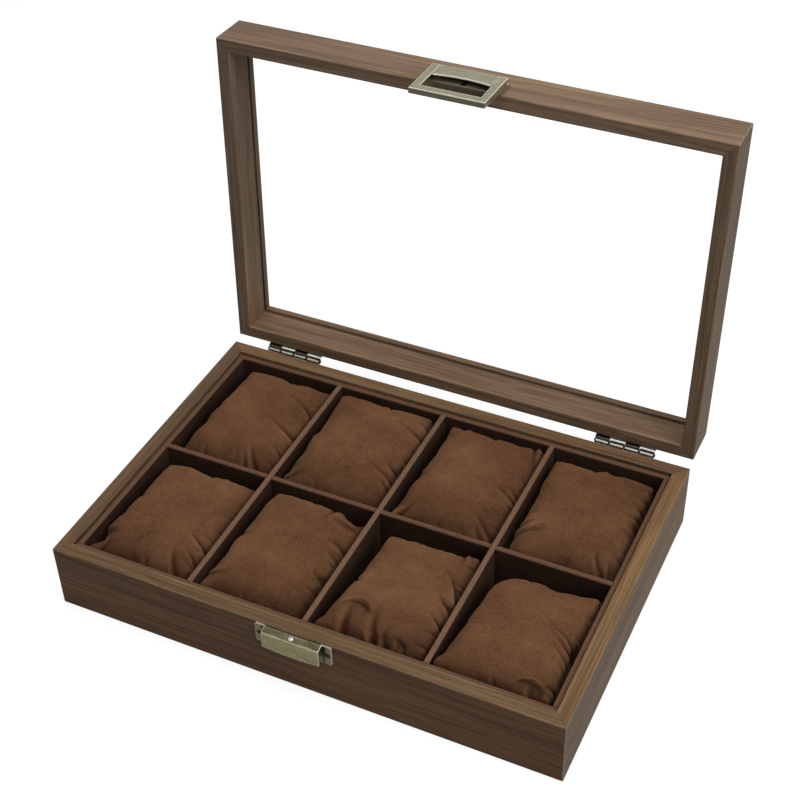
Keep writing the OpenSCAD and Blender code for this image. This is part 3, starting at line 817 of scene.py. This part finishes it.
def suede_finish():
    """Brushed suede whose nap lies in lighter and darker patches."""
    suede = Finish("cushion_suede")
    nap = suede.noise(suede.place, 900, 4.0, 0.8)
    fibres = suede.noise(suede.stretch(suede.place, 420, 260, 320), 1.0, 4.0, 0.75, 0.8)
    brushed = suede.noise(suede.place, 70, 4.0, 0.6, 1.0)
    broad = suede.noise(suede.place, 24, 2.0, 0.5, 0.6)
    tone = suede.math("MULTIPLY_ADD", broad, 0.45, suede.times(brushed, 0.30))
    tone = suede.math("MULTIPLY_ADD", fibres, 0.25, tone)
    color = suede.ramp(
        tone,
        [
            (0.36, (0.074, 0.029, 0.013)),
            (0.50, (0.130, 0.056, 0.026)),
            (0.64, (0.196, 0.094, 0.046)),
        ],
    )
    color = suede.mix(suede.range(nap, 0.35, 0.7, 0.0, 0.5), color, (0.235, 0.122, 0.062))
    # light and shade painted on each point of the cushion: lighter above 0, darker below 0
    rub = suede.add("ShaderNodeAttribute", {"attribute_name": "rub"}).outputs["Fac"]
    color = suede.mix(suede.range(rub, 0.0, 1.0, 0.0, 0.55), color, (0.30, 0.175, 0.10))
    shaded = suede.range(rub, 0.0, -1.0, 0.0, 0.8, smooth=False)
    color = suede.mix(shaded, color, (0.016, 0.006, 0.003))
    suede.set(Base_Color=color, Roughness=0.95, Specular_IOR_Level=0.08)
    suede.set(Sheen_Weight=0.22, Sheen_Roughness=0.4, Sheen_Tint=(0.85, 0.55, 0.35))
    suede.bump(nap, 0.16 * MM, 0.9)
    return suede


def panel_places():
    """Places (u, v, side) of the points of both panels, and the faces between them."""
    places, faces, ids = [], [], {}
    for side in (1, -1):
        for i in range(ACROSS + 1):
            for j in range(ALONG + 1):
                on_seam = i in (0, ACROSS) or j in (0, ALONG)
                key = (i, j, 0 if on_seam else side)
                if key not in ids:
                    ids[key] = len(places)
                    places.append((2 * i / ACROSS - 1, 2 * j / ALONG - 1, key[2]))
                ids[i, j, side] = ids[key]
        for i in range(ACROSS):
            for j in range(ALONG):
                corners = [(i, j), (i + 1, j), (i + 1, j + 1), (i, j + 1)]
                face = [ids[a, b, side] for a, b in corners]
                faces.append(face if side > 0 else face[::-1])
    return places, faces


def sewn_cover(name, places, faces, size, seed):
    """A half-filled cover, with the flat panels as the shape that its cloth was cut to."""
    start, flat = [], []
    for u, v, side in places:
        swell = math.sqrt((1 - abs(u) ** 3) * (1 - abs(v) ** 3))
        p = Vector(
            (
                u * size.x / 2 * (1 - DRAWN_IN * (1 - v * v)),
                v * size.y / 2 * (1 - DRAWN_IN * (1 - u * u)),
                side * size.z * START_FILL * swell,
            )
        )
        spot = Vector((u * 1.7 + seed, v * 2.1 + seed * 0.7, side * 0.8))
        p += turbulence.noise_vector(spot * 1.6) * 1.6 * MM * swell
        start.append(p * ENLARGE)
        flat.append(Vector((u * FLAT.x / 2, v * FLAT.y / 2, 0.3 * MM * side)) * ENLARGE)
    cover = add_piece(name, start, faces)
    cover.shape_key_add(name="sewn")
    panels = cover.shape_key_add(name="flat")
    panels.value = 0
    for point, place in zip(panels.data, flat):
        point.co = place
    return cover


def blow_up(covers):
    """Fills all the covers together and keeps the shapes that they come to rest in."""
    scene = bpy.context.scene
    for cover in covers:
        modifier = cover.modifiers.new("cloth", "CLOTH")
        cloth = modifier.settings
        cloth.quality = 5
        cloth.mass = 0.3
        cloth.tension_stiffness = cloth.compression_stiffness = 20
        cloth.shear_stiffness = 5
        cloth.bending_stiffness = 0.3
        cloth.tension_damping = cloth.compression_damping = 15
        cloth.shear_damping = 10
        cloth.air_damping = 3
        cloth.use_pressure = True
        cloth.uniform_pressure_force = 5
        cloth.effector_weights.gravity = 0
        cloth.rest_shape_key = cover.data.shape_keys.key_blocks["flat"]
        modifier.collision_settings.use_collision = False
        modifier.collision_settings.use_self_collision = False
        modifier.point_cache.frame_start = 1
        modifier.point_cache.frame_end = STEPS
    for step in range(1, STEPS + 1):
        scene.frame_set(step)
    graph = bpy.context.evaluated_depsgraph_get()
    shapes = [points_of(cover.evaluated_get(graph).data) for cover in covers]
    for cover in covers:
        cover.modifiers.clear()
    scene.frame_set(1)
    for cover, points in zip(covers, shapes):
        cover.shape_key_clear()
        cover.data.vertices.foreach_set("co", points.ravel())


def points_of(mesh, what="co"):
    flat = np.empty(len(mesh.vertices) * 3)
    mesh.vertices.foreach_get(what, flat)
    return flat.reshape(-1, 3)


def refine(cover, places):
    """Rounds the cover to twice as many squares, and returns each new point's place."""
    mark = cover.data.attributes.new("place", "FLOAT_VECTOR", "POINT")
    mark.data.foreach_set("vector", np.array(places, dtype=np.float32).ravel())
    finer = cover.modifiers.new("finer", "SUBSURF")
    finer.levels = finer.render_levels = 1
    graph = bpy.context.evaluated_depsgraph_get()
    mesh = bpy.data.meshes.new_from_object(cover.evaluated_get(graph), depsgraph=graph)
    cover.modifiers.clear()
    cover.data = mesh
    values = np.empty(len(mesh.vertices) * 3, dtype=np.float32)
    mesh.attributes["place"].data.foreach_get("vector", values)
    mesh.attributes.remove(mesh.attributes["place"])
    return values.reshape(-1, 3).astype(float)


def hump(x):
    return np.exp(-x * x)


def bring_to_size(points, places, size, seam):
    """Scales a filled cover, moves its pulled-in sides out and squares its shoulders."""
    for axis in range(3):
        low, high = points[:, axis].min(), points[:, axis].max()
        points[:, axis] = (points[:, axis] - (low + high) / 2) * size[axis] / (high - low)
    for axis in (0, 1):
        rows, which = np.unique(np.round(places[:, 1 - axis], 4), return_inverse=True)
        which = which.ravel()
        reach = np.zeros(len(rows))
        np.maximum.at(reach, which, np.abs(points[:, axis]))
        wanted = size[axis] / 2 * (1 - DRAWN_IN * np.abs(rows) ** 5)
        points[:, axis] *= (1 + FULLNESS * (wanted / reach - 1))[which]
    half = size.z / 2
    share = np.clip(np.abs(points[:, 2]) / half, 0, 1)
    share = 1 - (1 - share) ** SQUARENESS
    points[:, 2] = np.copysign(half * share, points[:, 2])
    u, v = places[:, 0], places[:, 1]
    left, right, front, back = (height * MM for height in seam)
    lift = left * np.clip(-u, 0, 1) ** 2 + right * np.clip(u, 0, 1) ** 2
    lift += front * np.clip(-v, 0, 1) ** 2 + back * np.clip(v, 0, 1) ** 2
    points[:, 2] += lift * (1 - share**2)


class Shaping:
    """Presses folds into one cushion, and keeps the light (above 0) and shade (below 0) painted at
    each point.
    """

    def __init__(self, points, normals, size, seed):
        self.points, self.normals, self.size = points, normals, size
        self.rub = np.zeros(len(points))
        self.random = random.Random(seed)
        self.far = Vector((0, 0, 17.3 * seed))
        self.top = np.clip(points[:, 2] / (0.2 * size.z) + 0.5, 0, 1)
        u, v = 2 * points[:, 0] / size.x, 2 * points[:, 1] / size.y
        # painted shade towards the right and front sides
        self.rub -= 0.55 * np.clip((u - 0.35) / 0.75, 0, 1) ** 1.5
        self.rub -= 0.60 * np.clip((-v - 0.25) / 0.75, 0, 1) ** 1.4

    def spot(self, u, v):
        return np.array((u * self.size.x / 2, v * self.size.y / 2))

    def measure(self, start, end):
        """Each point's share of the way from start to end, and its distance to the left."""
        start, end = self.spot(*start), self.spot(*end)
        length = np.linalg.norm(end - start)
        along = (end - start) / length
        gap = self.points[:, :2] - start
        return gap @ along / length, gap @ np.array((-along[1], along[0]))

    def near(self, place, radius):
        """1 at a place, falling to nearly 0 at twice the radius."""
        gap = self.points[:, :2] - self.spot(*place)
        return hump(np.linalg.norm(gap, axis=1) / (radius * MM))

    def press(self, lift):
        """Moves the points out along their normals, by millimetres."""
        self.points += self.normals * (lift * MM)[:, None]

    def fold(self, start, end, width, depth, bow=0.0):
        """A crease from the edge inwards that fades out, with a soft ridge beside it."""
        t, left = self.measure(start, end)
        d = (left - bow * MM * np.sin(np.pi * np.clip(t, 0, 1))) / (width * MM)
        fade = np.clip(1 - t, 0, 1) ** 0.8 * np.clip(1 + t * 4, 0, 1) * self.top
        valley = np.exp(-np.abs(d) ** 1.3)
        ridge = hump((d - 2.1) / 1.3)
        self.press((0.6 * ridge - valley) * fade * depth)
        # painted shade in the crease and painted highlight on the ridge
        self.rub += (0.55 * ridge - 1.1 * valley) * fade * min(1.0, depth / 1.6)

    def puckers(self, edge, count, depth, length=10.0, spread=(-0.9, 0.9)):
        """Short folds that run in from a gathered edge: -x, +x, -y or +y."""
        first, last = spread
        for k in range(count):
            place = first + (last - first) * (k + self.random.uniform(0.1, 0.9)) / count
            skew = self.random.uniform(-0.10, 0.10)
            inward = self.random.uniform(0.5, 1.2) * length * MM
            size = self.size.x if edge[1] == "x" else self.size.y
            side = -1 if edge[0] == "-" else 1
            tip = side * (1 - inward / (size / 2))
            start, end = (side, place), (tip, place + skew)
            if edge[1] == "y":
                start, end = start[::-1], end[::-1]
            width = self.random.uniform(0.7, 1.0)
            self.fold(start, end, width, depth * self.random.uniform(0.5, 1.2))

    def tuck(self, start, end, width, depth, rise):
        """A lip of cloth, bowed towards the back, that stands over a hollow in front of it."""
        t, left = self.measure(start, end)
        side = 1 if end[0] > start[0] else -1
        arch = np.sin(np.pi * np.clip(t, 0, 1))
        d = (side * left - rise * MM * arch) / (width * MM)
        fade = arch**0.7 * self.top
        lip = hump((d - 0.5) / 0.6)
        hollow = np.where(d < 0, np.exp(np.minimum(d, 0) / 1.8), hump(d / 0.3))
        self.press((0.3 * lip - hollow) * fade * depth)
        # painted highlight on the lip and painted shade in the hollow
        self.rub += (0.5 * lip - 1.2 * hollow**1.4) * fade * min(1.0, depth / 3)

    def dent(self, place, radius, depth):
        share = self.near(place, radius) * self.top
        self.points[:, 2] -= share * depth * MM
        # painted shade in the dent
        self.rub -= 0.25 * share * min(1.0, depth / 4)

    def pull(self, place, radius, move):
        """Draws a stretch of the edge out to an ear."""
        share = self.near(place, radius)
        self.points += share[:, None] * np.array(move) * MM
        # painted highlight on the ear
        self.rub += 0.35 * share**3 * self.top

    def rumple(self, depth):
        """Gentle unevenness of the filling."""
        for k, p in enumerate(self.points):
            spot = Vector(p) * 75 + self.far
            lift = turbulence.noise(spot) + 0.4 * turbulence.noise(spot * 2.7)
            self.points[k] += self.normals[k] * (lift * depth * MM * self.top[k])


# Each cushion's own list, in millimetres and degrees:
#   place    shift to the right and to the back, turn, and lean
#   seam     height of the seam at the left, right, front and back edges
#   short    share by which the cushion is shorter
#   taper    how far its left edge stands in at the back
#   folds    start and end (u, v), width, depth, bow
#   puckers  edge, count, depth, length, and the part of the edge
#   tucks    start and end (u, v), width, depth, rise of the lip
#   dents    place (u, v), radius, depth
#   pulls    place (u, v), radius, and how far it moves
PLAIN = dict(short=0.0, taper=0.0, tucks=[])
CUSHIONS = {
    1: dict(
        place=(2.5, 0, -1.5, -1.5),
        seam=(2, 2, 0, 6),
        short=0.02,
        taper=1.0,
        folds=[
            ((1, 0.28), (0.12, 0.62), 1.1, 1.6, -1.5),
            ((1, -0.22), (0.20, 0.02), 1.1, 2.0, 1.5),
            ((0.70, -1), (0.30, -0.55), 1.1, 2.0, 1),
            ((1, -0.62), (0.72, -0.5), 0.9, 1.4),
            ((0.45, -1), (0.30, -0.78), 0.9, 1.2),
            ((-0.45, -1), (-0.50, -0.82), 0.9, 1.0),
        ],
        puckers=[("+x", 5, 0.7, 7)],
        dents=[((0.05, 0.1), 12, 1.2), ((0.15, -0.5), 9, 0.8)],
        pulls=[((0.97, 0.97), 6, (0, 0, 1.5))],
    ),
    2: dict(
        place=(0.5, -0.5, 1.0, -1.5),
        seam=(3, 2, 0, 9),
        folds=[
            ((1, 0.48), (0.28, 0.66), 1.0, 1.8, -1),
            ((0.98, -0.46), (0.26, -0.24), 1.1, 1.8, 1),
            ((1, -0.30), (0.62, -0.16), 0.9, 1.5),
            ((1, -0.62), (0.72, -0.52), 0.9, 1.2),
            ((-0.9, -0.9), (-0.62, -0.72), 1.0, 1.4),
        ],
        puckers=[("+x", 8, 0.9, 8)],
        dents=[((-0.98, 0.45), 6, 1.5), ((0.8, 0.55), 6, 0.8)],
        pulls=[((-0.97, -0.97), 5, (-1.5, -1.5, 2))],
    ),
    3: dict(
        place=(1.8, -1, -1.5, -2),
        seam=(2, 3, 0, 9),
        folds=[
            ((1, -0.14), (0.46, 0.02), 1.0, 2.0, 0.5),
            ((1, -0.02), (0.66, 0.08), 0.9, 1.4),
            ((1, -0.92), (0.44, -0.58), 1.0, 1.8, 0.5),
            ((0.80, -1), (0.55, -0.76), 0.9, 1.2),
            ((-0.85, -1), (-0.62, -0.72), 1.0, 1.6),
            ((-0.62, 0.99), (-0.86, 0.80), 0.9, 1.6),
            ((0.74, 1), (0.84, 0.70), 1.0, 1.8),
        ],
        puckers=[("+x", 8, 0.8, 8)],
        dents=[((-0.90, 0.78), 4, 1.5), ((0.97, 0.68), 6, 2.0)],
        pulls=[((0.82, 1.0), 3.5, (0, 0.3, 1.0)), ((-0.95, -0.95), 5, (-1, -1, 2))],
    ),
    4: dict(
        place=(0.5, -1, 2.0, -2.5),
        seam=(2, 2, 0, 9),
        short=0.03,
        taper=1.5,
        folds=[
            ((-0.98, -0.62), (-0.40, -0.50), 1.2, 2.2, 1),
            ((-0.98, -0.44), (-0.66, -0.36), 0.9, 1.2),
            ((0.76, -1), (0.50, -0.60), 1.0, 2.0, 1),
            ((0.90, -0.98), (0.78, -0.70), 0.9, 1.4),
            ((1, 0.40), (0.60, 0.42), 0.9, 1.2),
        ],
        puckers=[("+x", 10, 1.1, 9)],
        tucks=[((-0.75, -0.50), (-0.42, -0.44), 1.4, 1.8, 1.5)],
        dents=[((-0.60, -0.62), 5, 1.0)],
        pulls=[((0.95, -0.97), 5, (0, -1, 3)), ((0.05, 1), 2.2, (0, 0.5, 1.6))],
    ),
    5: dict(
        place=(0.5, -1.5, -1.0, -3),
        seam=(2, 2, 0, 7),
        short=0.035,
        taper=2.0,
        folds=[
            ((1, -0.42), (0.42, -0.16), 1.1, 1.8, 1.5),
            ((0.80, -1), (0.46, -0.55), 1.1, 1.8, 1),
            ((1, -0.70), (0.66, -0.52), 0.9, 1.4),
            ((-1, -0.60), (-0.62, -0.66), 1.1, 1.8),
            ((-0.80, -1), (-0.62, -0.78), 1.0, 1.4),
        ],
        puckers=[("+x", 7, 0.8, 9)],
        dents=[((-0.92, -0.72), 6, 3.0)],
        pulls=[((0.3, 1), 2.2, (0, 0.5, 1.4)), ((-0.97, -0.95), 4, (-1.5, -1.5, 3))],
    ),
    6: dict(
        place=(0.5, 0, -3.0, -0.5),
        seam=(2, 2, 0, 4),
        folds=[
            ((0.34, 1), (0.26, 0.62), 1.2, 2.6, -1),
            ((1, 0.70), (0.36, 0.74), 1.2, 3.6, 1.5),
            ((1, 0.28), (0.58, 0.36), 1.1, 1.8),
            ((1, 0.10), (0.70, 0.16), 0.9, 1.2),
            ((-0.98, -0.80), (-0.62, -0.74), 1.0, 1.4),
        ],
        puckers=[("+x", 7, 0.8, 9)],
        tucks=[((0.86, 0.74), (0.30, 0.80), 1.8, 2.6, 1.5)],
        dents=[((0.76, 0.96), 9, 6.0)],
        pulls=[((0.97, 0.99), 5, (0, 0, 5)), ((-0.97, -0.97), 5, (-1.5, -1.5, 2))],
    ),
    7: dict(
        place=(0.5, -1.5, 0.5, -5.5),
        seam=(2, 2, 3, 9),
        short=0.06,
        taper=8.0,
        folds=[
            ((1, 0.14), (0.42, 0.62), 1.3, 2.4, -2),
            ((1, -0.10), (0.62, 0.10), 1.0, 1.8),
            ((1, -0.40), (0.66, -0.28), 1.0, 1.4),
            ((-0.46, -1), (-0.60, -0.44), 1.6, 2.0),
            ((0.10, -1), (-0.14, -0.42), 1.6, 2.6, 1),
            ((0.34, -1), (0.20, -0.80), 1.1, 1.6, 1),
            ((0.62, -0.96), (0.38, -0.84), 1.1, 2.0),
            ((0.66, 1), (0.74, 0.68), 1.0, 1.0),
        ],
        puckers=[("+x", 7, 1.2, 10), ("-y", 3, 0.8, 6, (0.0, 0.6))],
        tucks=[((-0.84, -0.60), (-0.16, -0.66), 1.8, 4.5, 7)],
        dents=[((-0.36, -0.60), 6, 2.0), ((0.97, 0.80), 4, 2.0), ((0.35, -0.95), 4, 2.0)],
        pulls=[
            ((0.76, 1.0), 4, (0, 0.3, 0.5)),
            ((-0.97, -0.97), 5, (-1.5, -1, 2)),
            ((0.97, 0.97), 7, (0, 0, 3)),
        ],
    ),
    8: dict(
        place=(0.5, -2, -1.0, -6),
        seam=(2, 2, 4, 8),
        short=0.07,
        taper=4.0,
        folds=[
            ((1, 0.02), (0.16, 0.36), 1.0, 1.5, 1.5),
            ((1, -0.10), (0.30, 0.22), 1.0, 1.4, 1.5),
            ((1, -0.28), (0.60, -0.08), 0.9, 1.2, 1),
            ((0.66, -1), (0.62, -0.84), 1.1, 1.4),
            ((1, -0.76), (0.80, -0.80), 1.0, 1.8),
        ],
        puckers=[("+x", 5, 0.7, 9)],
        tucks=[((0.36, -0.90), (0.86, -0.90), 1.5, 4.5, 4)],
        dents=[((0.60, -0.92), 4, 2.0)],
        pulls=[
            ((0.93, -0.96), 3.5, (0, -1, 3)),
            ((-0.97, -0.97), 5, (-1.5, -1.5, 3)),
            ((-0.97, 0.97), 7, (0, 0, -5)),
            ((-0.4, 0.97), 8, (0, 0, 1)),
            ((0.97, 0.97), 10, (0, 0, 5)),
        ],
    ),
}


def soft_limit(values, limit, soft):
    """Bends values off smoothly before they pass the limit."""
    edge = limit - soft
    over = np.clip(np.abs(values) - edge, 0, None)
    bent = edge + soft * (1 - np.exp(-over / soft))
    return np.where(over > 0, np.copysign(bent, values), values)


def shape_cushion(cover, places, size, number):
    """Brings a filled cover to its own shape; returns its points and the light and shade painted on
    them.
    """
    recipe = {**PLAIN, **CUSHIONS[number]}
    points = points_of(cover.data)
    bring_to_size(points, places, size, recipe["seam"])
    cover.data.vertices.foreach_set("co", points.ravel())
    cover.data.update()
    shaping = Shaping(points, points_of(cover.data, "normal"), size, number)
    shaping.rumple(RUMPLE)
    steps = {
        "puckers": shaping.puckers,
        "folds": shaping.fold,
        "tucks": shaping.tuck,
        "dents": shaping.dent,
        "pulls": shaping.pull,
    }
    for step, press in steps.items():
        for values in recipe[step]:
            press(*values)
    points[:, 1] -= recipe["short"] * (points[:, 1] + size.y / 2)
    to_back = np.clip(0.5 + points[:, 1] / size.y, 0, 1)
    to_left = np.clip(0.5 - points[:, 0] / size.x, 0, 1)
    points[:, 0] += recipe["taper"] * MM * to_back * to_left
    x, y, turn, lean = recipe["place"]
    turn = Matrix.Rotation(math.radians(turn), 3, "Z")
    spin = turn @ Matrix.Rotation(math.radians(lean), 3, "X")
    points = points @ np.array(spin).T + np.array((x, y, 0)) * MM
    for axis, spare in enumerate(SPARE):
        points[:, axis] = soft_limit(points[:, axis], size[axis] / 2 + spare, SOFTNESS)
    points[:, 2] = np.maximum(points[:, 2], -size.z / 2)
    return points, shaping.rub


def make_cushions():
    finish = suede_finish()
    places, faces = panel_places()
    boxes = {number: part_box(f"cushion_{number}") for number in CUSHIONS}
    covers = {
        number: sewn_cover(f"watch_cushion_{number}", places, faces, high - low, 3.7 * number)
        for number, (low, high) in boxes.items()
    }
    blow_up(list(covers.values()))
    for number, cover in covers.items():
        low, high = boxes[number]
        points, rub = shape_cushion(cover, refine(cover, places), high - low, number)
        mesh = cover.data
        mesh.vertices.foreach_set("co", (points + np.array((low + high) / 2)).ravel())
        # the light and shade painted on each point, for the suede finish
        mark = mesh.attributes.new("rub", "FLOAT", "POINT")
        mark.data.foreach_set("value", np.clip(rub, -1, 1).astype(np.float32))
        mesh.materials.clear()
        mesh.materials.append(finish.material)
        mesh.update()
        mesh.shade_smooth()
        name = f"cushion_{number}"
        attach(cover, name)
        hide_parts(name)


# ---- The whole scene ----

make_camera()
make_studio()
make_floor()
finish_frame()
make_cushions()

bpy.context.scene.view_settings.view_transform = "Standard"
bpy.context.view_layer.update()
